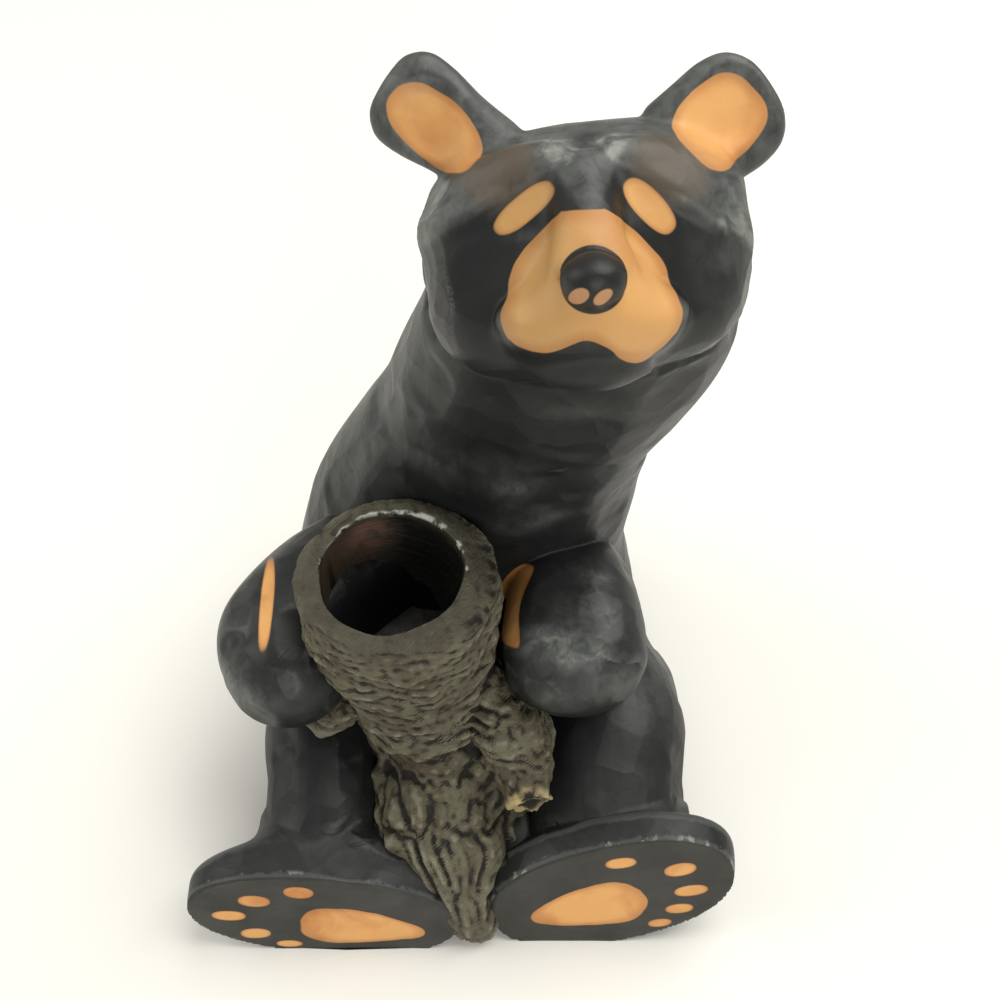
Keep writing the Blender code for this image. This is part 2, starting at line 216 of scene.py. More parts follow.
def latticeNoise(points, seed=0):
    # random values on a unit lattice, blended smoothly inside each cell, from -1 to 1
    cell = np.floor(points).astype(np.int64)
    part = points - cell
    part = part * part * part * (part * (part * 6 - 15) + 10)
    total = np.zeros(len(points))
    for corner in np.ndindex(2, 2, 2):
        at = cell + np.array(corner)
        mixed = at[:, 0] * 73856093 ^ at[:, 1] * 19349663 ^ at[:, 2] * 83492791 ^ seed * 2654435761
        mixed = (mixed ^ (mixed >> 13)) * 1274126177 & 0xFFFFFFFF
        value = (mixed ^ (mixed >> 16)) % 65536 / 32767.5 - 1
        weight = np.prod(np.where(np.array(corner), part, 1 - part), axis=1)
        total += weight * value
    return total


def layeredNoise(points, octaves, seed=0):
    return sum(latticeNoise(points * 2.03**k + 17.3 * k, seed + k) * 0.5**k for k in range(octaves))


def headMatrix():
    # across, up the face and out of the snout, lifted to look up and tipped over a little
    lift = math.radians(head["lift"])
    across, up = Vector((1, 0, 0)), Vector((0, math.sin(lift), math.cos(lift)))
    out = Vector((0, -math.cos(lift), math.sin(lift)))
    tip = Matrix.Rotation(math.radians(head["tip"]), 4, out)
    return Matrix.Translation(head["centre"]) @ tip @ Matrix((across, up, out)).transposed().to_4x4()


def inHead(points):
    # points in the head's own axes
    grid = np.array(headMatrix())
    return (points - grid[:3, 3]) @ grid[:3, :3]


def headShare(points):
    # 1 on the head and 0 below the neck
    return smoothStep(96, 104, points[:, 2])


# the bear

# a foot and its flat: middle, half width, half height and turn; its plane: the front at the floor and its lean
bear = {
    "voxel": 0.42, "passes": 4, "swell": 0.28, "triangles": 190000,
    "facets": 330, "facetDepth": 0.3, "facetReach": 7.0, "boldFacets": 34, "boldDepth": 0.42,
    "leftFoot": ((-27.0, 9.1), 24.2, 10.8, -7.0), "rightFoot": ((22.7, 11.8), 22.7, 12.0, 19.5),
    "leftFlat": ((-28.0, 9.3), 22.9, 10.3, -8.1), "rightFlat": ((23.6, 12.1), 20.9, 11.5, 17.1),
    "leftPlane": (-39.0, 0.27), "rightPlane": (-37.7, 0.34),
    "soleRim": 4.2, "soleTop": 45.0, "heels": 3.0,
    "kneeLeft": (17.0, 40.0), "kneeRight": (8.0, 38.4),
}


def torsoParts():
    stations = [
        (-2.0, 27.0, -1.0, 31.0, 21.0, 2.1), (-2.2, 29.0, 6.0, 33.8, 24.5, 2.1),
        (-3.4, 30.5, 22.0, 32.9, 24.5, 2.1), (-2.1, 31.0, 38.0, 30.1, 22.0, 2.05),
        (2.9, 30.5, 56.0, 26.3, 19.0, 2.05), (6.3, 29.5, 67.5, 23.6, 18.0, 2.05),
        (9.2, 27.5, 78.5, 22.7, 17.2, 2.05), (12.9, 25.0, 89.0, 22.7, 16.4, 2.05),
        (16.0, 22.5, 100.0, 22.4, 15.5, 2.05), (16.2, 20.0, 110.0, 19.9, 14.2, 2.1),
        (15.0, 18.0, 118.0, 14.0, 12.0, 2.1),
    ]
    # haunches, a short tail and the casting's fill between the root and the right foot
    lumps = [((-22.8, 4.0, 12.5), (14.5, 17.0, 13.4)), ((22.1, 4.0, 12.0), (16.1, 17.0, 13.2)),
             ((-2.0, 53.0, 13.0), (5.0, 4.5, 5.5)), ((6.5, -19.0, 6.0), (7.0, 12.0, 8.0))]
    return [limb(stations, (0, 1, 0), 70, 72), *[ball(*lump) for lump in lumps]]


def tiltedOval(angle, sole, squareness=2.3):
    middle, halfLong, halfHigh, rise = sole
    turn = math.radians(rise)
    spin = np.array([[math.cos(turn), math.sin(turn)], [-math.sin(turn), math.cos(turn)]])
    return np.array(middle) + np.stack(superCircle(angle, squareness), -1) * (halfLong, halfHigh) @ spin


def legParts(side, foot, flatSole, plane, knee):
    # the thigh, then rings that swell from the ankle to the rim and round over to the flat of the sole
    inner, outer = knee
    middle, half = side * 0.5 * (inner + outer), 0.5 * (outer - inner)
    thigh = [
        (side * 15.0, 34.0, 13.0, 13.0, 13.6, 2.1), (side * 19.5, 15.0, 12.8, 13.5, 13.2, 2.2),
        (middle, -1.0, 13.5, half, 14.2, 2.2), (middle, -13.0, 12.0, half - 1.0, 12.5, 2.2),
        (middle, -24.0, 10.5, half - 1.0, 10.5, 2.2),
    ]
    front, lean = plane
    angle = anglesOf(96)
    rim, face = tiltedOval(angle, foot, 2.05), tiltedOval(angle, flatSole)
    ankle = tiltedOval(angle, ((middle, 10.5), half, 10.5, foot[3]), 2.0)
    reach = 20.0
    t = np.linspace(0, 1, 60)[:, None, None]
    full = 1.0 - bear["soleRim"] / reach
    grown = smoothStep(0.0, full, t) ** 1.8
    rounding = 1 - np.sqrt(1 - np.clip((t - full) / (1 - full), 0, 1) ** 2)
    flat = (1 - grown) * ankle + grown * ((1 - rounding) * rim + rounding * face)
    depth = front + (1 - t[..., 0]) * reach + grown[..., 0] * lean * flat[..., 1]
    rings = np.concatenate([flat[..., :1], depth[..., None], flat[..., 1:]], -1)
    closing = [rings[-1] * (1 - k) + rings[-1].mean(0) * k for k in (0.3, 0.6, 0.9)]
    return [limb(thigh, (0, 0, 1)), closedRings(np.concatenate([rings, closing]))]


def armParts():
    left, right = stump["x"] - stump["radius"], stump["x"] + stump["radius"] + 2 * stump["bark"]
    arms = [  # each joint: place, half width and half height, then the paw's own radii
        ([(left + 10.8, 18.0, 42.4, 10.2, 10.2), (left + 1.8, 9.5, 43.6, 10.6, 10.6),
          (left - 3.6, 0.5, 43.0, 11.5, 11.5), (left - 3.4, -3.8, 42.6, 10.9, 10.9)], (10.9, 10.9, 10.9)),
        ([(right + 12.5, 19.0, 36.5, 9.0, 9.0), (right + 12.6, 9.0, 41.4, 11.2, 10.8),
          (right + 12.6, -1.0, 42.6, 12.4, 11.2), (right + 12.4, -3.6, 42.0, 12.0, 10.6)], (12.0, 8.6, 10.6)),
    ]
    parts = []
    for joints, paw in arms:
        parts += [limb([(*j, 2.4) for j in joints], (0, 0.3, 1)), ball(joints[0][:3], (joints[0][3],) * 3),
                  ball(joints[-1][:3], paw)]
    return parts


def headParts():
    skull = [
        (-0.1, -2.0, -20.0, 6.0, 5.0, 2.2), (-0.1, -3.0, -15.0, 15.5, 12.5, 2.5),
        (-0.1, -2.9, -6.0, 21.0, 16.6, 2.8), (-0.1, -3.2, 0.0, 21.4, 15.9, 2.8),
        (-0.1, -3.6, 5.0, 19.6, 14.4, 2.6), (-0.1, -3.8, 8.6, 15.5, 11.6, 2.4),
        (-0.1, -4.0, 11.0, 9.0, 7.0, 2.2),
    ]
    parts = [limb(skull, (-0.09, 1, 0), 60, 72)]
    for side in (-1, 1):
        places = [side * apart + head["middle"] for apart in (1.5, 7.5, 13.6, 16.6)]
        brow = [(8.6, 6.0, 3.0, 2.6, 2.0), (7.6, 5.6, 3.8, 3.2, 2.0), (4.4, 3.0, 4.6, 3.2, 2.0),
                (1.0, -0.6, 3.6, 2.6, 2.0)]
        parts.append(limb([(x, *rest) for x, rest in zip(places, brow)], (0, 0, 1)))
        parts.append(ball((side * 5.4 + head["middle"], -9.6, 9.0), (6.4, 5.0, 8.4)))
    bridge = [
        (-0.8, 9.0, 6.8, 4.4, 2.8, 2.0), (-0.9, 4.5, 10.4, 4.6, 3.2, 2.0), (-1.0, 0.0, 14.4, 4.8, 3.4, 2.0),
        (-1.1, -4.0, 17.6, 5.2, 3.4, 2.0),
    ]
    parts.append(limb(bridge, (0, 1, 1)))
    # the muzzle is a wedge that narrows on its way out: (1 - (out / length) ^ 2.6) ^ 0.6
    middle, tip = np.array((-0.7, -5.2)), np.array((-1.0, -6.2))
    angle = anglesOf(72)
    rim = np.stack(superCircle(angle, 2.4), -1) * (7.6, 8.8)
    rim[:, 0] *= 1 - 0.72 * rim[:, 1] / 8.8
    out = 1.0 + 19.8 * np.linspace(0, 1, 30) ** 0.7
    grown = np.minimum(1.2 * (1 - ((out - 1.0) / 20.1) ** 2.6) ** 0.6, 1.2)[:, None, None]
    flat = middle + (1 - np.minimum(grown, 1)) * (tip - middle) + grown * rim
    outward = np.broadcast_to(out[:, None, None], (len(out), len(angle), 1))
    parts.append(closedRings(np.concatenate([flat, outward], -1)))
    parts.append(ball((-0.5, -15.0, 5.0), (9.0, 4.2, 8.0)))
    parts.append(ball(head["nose"], (3.6, 3.3, 3.5)))
    ears = [((-11.2, 9.6), (-24.6, 20.3), (5.2, 5.4, 6.1, 6.0, 4.0, 1.2)),
            ((11.4, 8.8), (23.8, 16.9), (6.9, 7.2, 7.4, 6.5, 4.0, 1.2))]
    for root, tip, widths in ears:
        root, tip = np.array(root), np.array(tip)
        along = zip((0.0, 0.35, 0.62, 0.84, 0.97, 1.0), widths, (4.0, 3.5, 3.0, 2.7, 2.0, 0.8))
        stations = [(*(root + t * (tip - root)), -3.0, wide, thick, 2.1) for t, wide, thick in along]
        parts.append(limb(stations, (0, 0, 1), 44, 48))
    return [placed(part, headMatrix()) for part in parts]


def soleDistance(points, side):
    # how far a point stands in front of the flat of one sole
    front, lean = bear["leftPlane"] if side < 0 else bear["rightPlane"]
    return (front + lean * points[:, 2] - points[:, 1]) / math.hypot(1, lean)


def planed(points, normals, seeds, depth, reach):
    # a flat shaved at each seed: what stands above its plane is pressed down to it
    for seed in seeds:
        centre, normal = points[seed].copy(), normals[seed]
        near = np.nonzero(((points - centre) ** 2).sum(1) < reach**2)[0]
        near = near[normals[near] @ normal > 0.55]
        offset = points[near] - centre
        over = np.maximum(offset @ normal + depth, 0)
        fade = 1 - smoothStep(0.6 * reach, reach, np.linalg.norm(offset, axis=1))
        fade = fade * (1 - smoothStep(0.5, 1.1, over))
        points[near] -= (over * fade)[:, None] * normal
    return points


def eased(points, edges, mask, times):
    # points pulled to the mean of their neighbours, by as much as the mask says
    for _ in range(times):
        points = points + mask[:, None] * (meansOf(points, edges) - points)
    return points


def browHeight(across):
    # the brow's edge runs down and out from the middle of the face, more steeply on its right
    apart = np.abs(across - head["middle"])
    slope = np.where(across < head["middle"], 10.2 - 0.5 * apart, 11.1 - 0.66 * apart)
    return slope + 0.5 * np.exp(-(apart / 2.0) ** 2)


def sculptBear(points, normals):
    local = inHead(points)
    across, up, out = local.T
    onHead, apart = headShare(points), np.abs(across - head["middle"])

    # broad flats left by the carving tool, away from the soles
    rng = np.random.default_rng(7)
    seeds = rng.choice(len(points), bear["facets"], replace=False)
    ears = (apart[seeds] > 9) & (up[seeds] > 8) & (points[seeds, 2] > 100)
    offSole = (points[seeds, 2] > 3) & (soleDistance(points[seeds], -1) < -5)
    seeds = seeds[offSole & (out[seeds] < 7) & ~ears]
    points = planed(points, normals, seeds, bear["facetDepth"], bear["facetReach"])

    # bolder flats on the sides of the skull
    bold = (onHead > 0.9) & (out < 5) & (out > -14) & (apart > 8) & (up < 6)
    seeds = rng.choice(np.nonzero(bold)[0], bear["boldFacets"], replace=False)
    points = planed(points, normals, seeds, bear["boldDepth"], bear["facetReach"])

    # the eyes lie in a hollow under the brow's edge
    below = browHeight(across) - up
    front = smoothStep(-6, 1, out) * onHead * smoothStep(0.8, 6.5, apart)
    muzzle = smoothStep(0, 3, -1.5 - 0.9 * up + 6.5 - apart) * smoothStep(-2, 5, out)
    hollow = smoothStep(-1.3, 1.7, below) * (1 - smoothStep(5, 13, below)) * (1 - 0.7 * muzzle)
    hollow = hollow * (1 - 0.75 * smoothStep(11, 18, apart))
    shelf = bumpAt(below[:, None] + 1.6, (0,), (2.4,))
    points = points + normals * (front * (0.35 * shelf - 1.0 * hollow))[:, None]

    # the ears are dished inside a round rim
    snout = np.array(headMatrix())[:3, 2]
    for centre, reach, turn in (((-18.9, 15.2), (5.0, 6.4), 35), ((17.9, 14.2), (5.0, 6.6), -33)):
        c, s = math.cos(math.radians(turn)), math.sin(math.radians(turn))
        u = ((across - centre[0]) * c + (up - centre[1]) * s) / reach[0]
        v = ((up - centre[1]) * c - (across - centre[0]) * s) / reach[1]
        dish = (1 - smoothStep(0.45, 1.05, np.hypot(u, v))) * smoothStep(-3.5, -2.0, out) * onHead
        points = points - snout * (1.5 * dish)[:, None]

    # a faint groove from the nose to the lip
    groove = np.exp(-((across + 1.1) / 0.9) ** 2) * smoothStep(-7.5, -9, up)
    groove = groove * smoothStep(-13, -11, up) * smoothStep(8, 13, out)
    points = points - normals * (0.3 * groove * onHead)[:, None]

    # the nose is flattened on top, and its nostrils pressed in
    onNose = smoothStep(4.4, 3.6, np.linalg.norm(local - head["nose"], axis=1))
    points = points - normals * (0.4 * onNose * smoothStep(-3.4, -0.6, up))[:, None]
    for x in (-2.6, 0.4):
        nostril = 0.5 * bumpAt(local[:, :2], (x, -6.0), (0.9, 0.9)) * smoothStep(19, 21, out)
        points = points - normals * nostril[:, None]
    return points


def makeBear():
    leftLeg = legParts(-1, bear["leftFoot"], bear["leftFlat"], bear["leftPlane"], bear["kneeLeft"])
    rightLeg = legParts(1, bear["rightFoot"], bear["rightFlat"], bear["rightPlane"], bear["kneeRight"])
    points, faces = gathered([*torsoParts(), *leftLeg, *rightLeg, *armParts(), *headParts()])
    skin = applied("skin", meshOf("skin", points, faces), [
        ("REMESH", {"mode": "VOXEL", "voxel_size": bear["voxel"] * share}),
        ("DISPLACE", {"strength": bear["swell"] * share, "mid_level": 0.0}),
        ("SMOOTH", {"factor": 0.5, "iterations": bear["passes"]}),
    ])
    points, edges = pointsOf(skin), edgesOf(skin)

    # the paws' joints and the underside of the chin are eased before the carving
    across, up, out = inHead(points).T
    joints = bumpAt(points, (18, -4, 49), (13, 11, 9)) + bumpAt(points, (-37, -2, 48), (10, 13, 10))
    chin = smoothStep(-8.5, -12, up) * smoothStep(-24, -19, up)
    chin = chin * smoothStep(16, 11, np.abs(across)) * smoothStep(-8, -2, out)
    points = eased(points, edges, np.clip(1.6 * joints, 0, 1), 12)
    points = eased(points, edges, chin, 40)
    setPoints(skin, points)
    points = sculptBear(points, normalsOf(skin))

    # and the brow's middle, the skin beside the nose and the roots of the ears after it
    local = inHead(points)
    across, up, out = local.T
    brow = smoothStep(11, 6, np.abs(across - head["middle"]))
    brow = brow * smoothStep(0.5, 3.5, up) * smoothStep(-3, 2, out)
    fromNose = np.linalg.norm(local - head["nose"], axis=1)
    beside = smoothStep(4.0, 4.5, fromNose) * smoothStep(13.5, 10, fromNose) * smoothStep(-10, -7, up)
    roots = bumpAt(local, (12.3, 9.8, -1), (5, 5, 4)) + bumpAt(local, (-12.3, 10.8, -1), (5, 5, 4))
    skinMask = np.maximum(np.maximum(0.8 * brow, beside), np.clip(1.5 * roots, 0, 1))
    points = eased(points, edges, skinMask, 16)

    # the soles and the underside are flat
    for side in (-1, 1):
        ahead = soleDistance(points, side)
        onSide = ((points[:, 0] - bear["heels"]) * side > 0) & (points[:, 2] < bear["soleTop"])
        flat = onSide & (ahead > -0.3)
        points[flat, 1] += ahead[flat] * math.hypot(1, 0.3)
    points[:, 2] = np.where(points[:, 2] < 0.35, 0.0, points[:, 2])
    setPoints(skin, points)

    normals = normalsOf(skin)
    under = bumpAt(local, (-0.5, -16, 6), (14, 7, 12))
    ridge = ridgeOf(points, normals, edges, 3) * 60 * (1 - 0.9 * under)
    addAttribute(skin, "ridge", np.clip(ridge, -1, 1))
    # the brushed attribute holds the grey brushwork and the painted highlights and reflections together
    addAttribute(skin, "brushed", brushworkAndPaintedLight(points))
    kept = bear["triangles"] / (2 * len(skin.polygons))
    mesh = applied("bear", skin, [("DECIMATE", {"ratio": kept, "use_collapse_triangulate": True})])
    print("bear:", len(points), "points fused,", len(mesh.polygons), "triangles kept")
    return mesh


def brushworkAndPaintedLight(points):
    # where the grey was brushed over the black, and where grey and pale stand in for light as painted highlight
    # and painted reflection: 1 is grey, and above it comes the palest
    local = inHead(points)
    across, up, out = local.T
    onHead = headShare(points)
    uneven = 0.6 * latticeNoise(points * 0.45, 61)
    # above the brow's edge the grey is partly painted light, for the planes there that face up
    brow = smoothStep(-0.45, 0.5, up - browHeight(across) + uneven) * onHead
    narrow = 0.7 + 0.55 * (up - 3.2)
    ridge = smoothStep(0.6, -0.5, np.abs(across + 0.7) - narrow)
    ridge = ridge * smoothStep(3.0, 4.2, up) * smoothStep(4, 7, out)
    x, y, z = points.T
    # the band down the left side of the neck is a painted reflection, for surfaces that face to the left
    edge = np.interp(z, [60, 76, 87, 93, 98], [20.6, 20.4, 18.7, 16.7, 15.3]) + 0.8 * uneven
    litSideBand = smoothStep(-1.2, 2.2, y - edge) * smoothStep(2, -4, x)
    litSideBand = litSideBand * smoothStep(50, 58, z) * smoothStep(104, 98, z)
    total = 0.95 * brow + 0.8 * ridge * onHead + 0.5 * litSideBand * (1 - onHead)
    for region, places in (("head", local), ("body", points)):
        for centre, reach, strength in greyAndLightSpots[region]:
            total = total + strength * bumpAt(places, centre, reach)
    return np.clip(total, 0, 1.8)


# grey brushed on, and painted highlights and reflections, and below nought kept black: centre, reach and
# strength; the head's are in its own axes
greyAndLightSpots = {
    "head": [
        ((-5.4, 10.6, 8.5), (4.2, 2.4, 4), 0.28), ((4.2, 11.0, 7.8), (3.6, 2.4, 4), 0.28),
        ((0.2, 12.4, 4.2), (1.9, 1.7, 3), -1.0), ((-20.0, 4.4, 3.4), (2.6, 5.5, 5), 1.0),
        ((-8.0, 0.8, 10.2), (2.2, 0.8, 2), 0.6), ((4.6, 2.1, 10.6), (1.6, 1.4, 2), 0.6),
        ((15.5, 0.7, 8.7), (1.4, 0.6, 2), 0.7), ((10.8, 4.1, 10.2), (0.9, 0.6, 2), 0.7),
        ((17.0, -3.5, 7.0), (4.5, 6.0, 6), 0.5), ((19.5, 2.0, 5.5), (2.0, 4.0, 5), 0.4),
        ((-16.0, 9.5, 3.0), (3.0, 2.5, 5), -0.5), ((14.8, 8.6, 3.5), (3.0, 2.5, 5), -0.5),
    ],
    "body": [
        ((-8, 16, 73), (5, 6, 2.6), 0.7), ((0, 12, 77), (6, 6, 2.4), 0.5), ((6, 11, 72), (4.5, 6, 3), 0.8),
        ((9.5, 12, 62), (5, 6, 2.2), 0.8), ((15, 8, 94), (5, 6, 2.0), 0.5), ((27, 20, 66), (4, 8, 12), 0.4),
        # the bright marks along the right paw's edges are painted highlights over scuffed grey
        ((9.8, -4.8, 51.6), (3.0, 3, 3), 1.0), ((14, -5.6, 53), (4.5, 2.2, 3), 1.0),
        ((15.5, -8.3, 51.8), (4.6, 1.0, 2), 1.5), ((20, -7.8, 52.0), (1.4, 2.2, 2.5), 1.5),
        ((21.6, 0, 53.0), (1.5, 5.5, 3), 1.1), ((19.5, 6.4, 53), (3.5, 1.6, 3), 0.9),
        ((22.5, -10.2, 46), (4, 3, 3.5), 1.1), ((13.0, -12.0, 43.5), (4, 2, 2.5), 0.8),
        ((-41, -8, 46), (3, 4, 4), 1.1), ((-37, -12.2, 46), (5, 2.4, 3), 1.1), ((-36, 13, 51), (5, 5, 3), 0.8),
        ((17, -1, 50), (12, 12, 10), 0.4), ((-38, -2, 50), (8, 13, 9), 0.35), ((28, -4, 27), (7, 10, 6), 0.3),
        ((-30, -28, 15), (16, 10, 7), 0.3), ((28, -28, 20), (14, 10, 7), 0.3),
        ((0, 48, 60), (40, 20, 60), 0.35),
        ((38, 22, 76), (6, 14, 22), 0.4), ((34, 8, 24), (5, 10, 10), 0.45),
    ],
}


# the stump

trunk = {"voxel": 0.40, "passes": 2, "mouthWorn": 2.0}


def trunkParts():
    r, x, y = stump["radius"], stump["x"], stump["y"]
    wide = r + stump["bark"]
    stations = [
        (x + 6.6, y - 6.0, -1.0, 1.04 * wide, 1.12 * r, 2.0),
        (x + 6.6, y - 5.0, 8.0, 0.96 * wide, 1.04 * r, 2.0),
        (x + 5.6, y - 3.0, 22.0, 0.86 * wide, 0.96 * r, 2.0),
        (x + 4.0, y - 1.5, 33.0, 0.81 * wide, 0.93 * r, 2.0),
        (x + 2.6, y - 0.6, 40.0, 0.86 * wide, 0.95 * r, 2.0), (x + 1.0, y, 50.0, wide, r, 2.0),
        (x + 1.0, y, 60.0, wide, r, 2.0), (x + 0.8, y, socket["mouth"], 0.97 * wide, 0.98 * r, 2.0),
    ]
    root = [
        (x + 7.2, y - 6.0, 12.0, 0.9 * r + 1.0, 17.0, 2.0), (x + 6.8, -16.0, 10.5, 14.6, 14.6, 2.0),
        (-5.0, -25.0, 8.0, 11.6, 11.4, 2.0), (-2.5, -31.0, 5.0, 7.6, 8.2, 2.0),
        (0.4, -35.0, 2.5, 4.4, 4.5, 2.0), (1.8, -36.6, 1.0, 1.8, 2.0, 2.0),
    ]
    slab = [
        (0.6, -4.0, 39.0, 3.0, 3.0, 2.3), (3.6, -8.0, 35.0, 6.2, 4.6, 2.5), (6.2, -12.0, 30.5, 7.4, 5.6, 2.5),
        (7.8, -16.0, 27.6, 5.6, 4.8, 2.2), (8.5, -19.6, 26.3, 4.1, 3.8, 2.0), (8.9, -22.0, 25.5, 4.1, 3.8, 2.0),
    ]
    filler = [(-2.0, -4.0, 34.0, 8.0, 7.0, 2.0), (1.5, -9.0, 24.0, 8.5, 7.5, 2.0),
              (2.0, -13.0, 12.0, 10.0, 9.0, 2.0)]
    spur = [
        (-20.0, -4.5, 36.0, 5.4, 4.0, 2.0), (-24.5, -6.4, 32.5, 4.6, 2.6, 2.0),
        (-28.0, -7.6, 29.4, 3.0, 1.6, 2.0), (-30.0, -8.3, 28.2, 1.0, 0.8, 2.0),
    ]
    return [limb(stations, (0, 1, 0), 60, 72), limb(root, (0, 0, 1)), limb(slab, (0, 0.5, 1)),
            limb(filler, (0, 1, 0)), limb(spur, (0, 0.3, 1))]


def barkRelief(points, normals):
    x, y, z = points.T
    side = points - (stump["x"], stump["y"], 0)
    radius = np.hypot(side[:, 0], side[:, 1])
    warp = np.stack([latticeNoise(points / 7.0 + k * 9.1, 40 + k) for k in range(3)], -1)
    # scalloped wrinkles lie across the trunk, and furrows run down the root towards its tip
    wrinkle = layeredNoise((points + 2.2 * warp) * (0.16, 0.16, 0.42), 3, 3)
    wrinkle = 2.2 * np.abs(wrinkle) - 0.7
    fan = (x + 0.6) / (0.3 + 0.055 * (y + z + 38))
    alongRoot = np.stack([fan * 0.50, (y + z) * 0.075, (z - y) * 0.07], -1)
    furrow = 2.2 * np.abs(layeredNoise(alongRoot + 0.42 * warp, 3, 11)) - 0.7
    lower = smoothStep(32, 20, z + 1.5 * warp[:, 0])
    lip = smoothStep(socket["mouth"] - 1.0, socket["mouth"] - 7.0, z)
    amount = (0.42 * wrinkle * (1 - lower) + 0.85 * furrow * lower) * (0.55 + 0.45 * lip)
    amount = amount + 0.55 * latticeNoise(points * (0.22, 0.22, 0.16), 31)
    amount = amount * (0.4 + 0.6 * smoothStep(-37, -28, y))
    grain = 0.16 * layeredNoise(points * (0.9, 0.9, 0.55), 2, 23)
    # a broken ledge crosses the trunk above the root
    ledge = z - 31.0 - 1.6 * latticeNoise(points * (0.3, 0.3, 0.0) + 5.0, 8) - 0.25 * (x + 10)
    ledge = ledge[:, None]
    step = 0.8 * bumpAt(ledge - 1.2, (0,), (1.4,)) - 1.1 * bumpAt(ledge + 2.2, (0,), (2.4,))
    hollow = 1.6 * bumpAt(points, (-17.5, -12.0, 24.0), (4.5, 8, 5.0))
    move = amount + grain + step * smoothStep(6, -2, x) - hollow
    bore = (radius < socket["radius"] + 0.3) & (z > socket["mouth"] - socket["depth"] - 0.5)
    bore = bore & (normals[:, 2] < 0.95)
    return points + normals * np.where(bore, 0, move)[:, None]


def makeStump():
    points, faces = gathered(trunkParts())
    skin = applied("bark", meshOf("bark", points, faces), [
        ("REMESH", {"mode": "VOXEL", "voxel_size": trunk["voxel"] * share}),
        ("SMOOTH", {"factor": 0.5, "iterations": trunk["passes"]}),
    ])
    points, normals = pointsOf(skin), normalsOf(skin)
    points = barkRelief(points, normals)
    points[:, 2] = np.where(points[:, 2] < 0.3, 0.0, points[:, 2])
    # the mouth is worn round towards the outside
    outward = np.hypot(points[:, 0] - stump["x"], points[:, 1] - stump["y"]) - socket["radius"]
    ragged = 0.3 * np.abs(layeredNoise(points * (0.7, 0.7, 0), 2, 9))
    mouth = socket["mouth"] + 0.3 * latticeNoise(points * (0.25, 0.25, 0), 5) - ragged
    mouth = mouth - trunk["mouthWorn"] * smoothStep(0.6, socket["wall"] + 1.4, outward) ** 1.6
    points[:, 2] = np.minimum(points[:, 2], mouth)
    setPoints(skin, points)

    # the candle's socket is bored out
    angle = anglesOf(128)
    radii = socket["radius"] + 0.18 * np.sin(3 * angle + 1) + 0.12 * np.sin(7 * angle)
    heights = socket["mouth"] + np.array([-socket["depth"], -1.4, -0.4, 4])
    flare = np.array([0.0, 0.0, 0.35, 1.3])
    circle = np.stack([np.cos(angle), np.sin(angle)], -1)
    rings = [np.column_stack([(stump["x"], stump["y"]) + circle * (radii + wider)[:, None],
                              np.full(len(angle), height)]) for height, wider in zip(heights, flare)]
    cutter = newObject("socket", meshOf("socket", *closedRings(rings)))
    cut = {"operation": "DIFFERENCE", "solver": "EXACT", "object": cutter}
    bored = applied("stump", skin, [("BOOLEAN", cut)])
    bpy.data.objects.remove(cutter)

    points, normals, edges = pointsOf(bored), normalsOf(bored), edgesOf(bored)
    addAttribute(bored, "ridge", np.clip(ridgeOf(points, normals, edges, 2) * 16, -1, 1))
    print("stump:", len(points), "points,", len(bored.polygons), "faces")
    return bored


# shader helpers

def isSocket(value):
    return isinstance(value, bpy.types.NodeSocket)


def addNode(kind, inputs, tree=None, **settings):
    # an input is linked to a socket or set to a value, and the sockets tell which tree the node goes in
    tree = tree or [value for value in inputs.values() if isSocket(value)][0].id_data
    made = tree.nodes.new(kind)
    for key, value in settings.items():
        setattr(made, key, value)
    for place, value in inputs.items():
        if isSocket(value):
            tree.links.new(value, made.inputs[place])
        else:
            made.inputs[place].default_value = value
    return made


def calc(operation, *values):
    return addNode("ShaderNodeMath", dict(enumerate(values)), operation=operation).outputs[0]


def product(first, *others):
    for value in others:
        first = calc("MULTIPLY", first, value)
    return first


def minus(first, second):
    return calc("SUBTRACT", first, second)


def remap(value, low, high, toLow=0.0, toHigh=1.0, kind="SMOOTHSTEP"):
    inputs = {"Value": value, "From Min": low, "From Max": high, "To Min": toLow, "To Max": toHigh}
    return addNode("ShaderNodeMapRange", inputs, interpolation_type=kind).outputs[0]


def fade(value, low, high, toLow=0.0, toHigh=1.0):
    # a remap whose limits are places or lengths in shares
    return remap(value, low * share, high * share, toLow, toHigh)


def blendColour(factor, *colours):
    both = [value if isSocket(value) else (*value, 1.0) for value in colours]
    return addNode("ShaderNodeMix", {0: factor, 6: both[0], 7: both[1]}, data_type="RGBA").outputs[2]


def noiseAt(vector, scale, detail=2.0, roughness=0.5, distortion=0.0):
    inputs = {"Vector": vector, "Scale": scale, "Detail": detail, "Roughness": roughness,
              "Distortion": distortion}
    return addNode("ShaderNodeTexNoise", inputs).outputs[0]


def attributeOf(material, name):
    return addNode("ShaderNodeAttribute", {}, material.node_tree, attribute_name=name).outputs["Fac"]


def partsOf(vector):
    return addNode("ShaderNodeSeparateXYZ", {0: vector}).outputs


def stretched(coordinates, upward):
    return addNode("ShaderNodeMapping", {"Vector": coordinates, "Scale": (1.0, 1.0, upward)}).outputs[0]


def distanceTo(coordinates, place):
    inputs = {0: coordinates, 1: Vector(place) * share}
    return addNode("ShaderNodeVectorMath", inputs, operation="DISTANCE").outputs["Value"]


def placeIn(coordinates, matrix, half, **labels):
    # coordinates in a matrix's axes, which reach 1 at the half sizes
    inputs = {"Vector": coordinates, "Location": Vector(matrix.translation) * share,
              "Rotation": matrix.to_euler(), "Scale": tuple(v * share for v in half)}
    return addNode("ShaderNodeMapping", inputs, vector_type="TEXTURE", **labels).outputs[0]


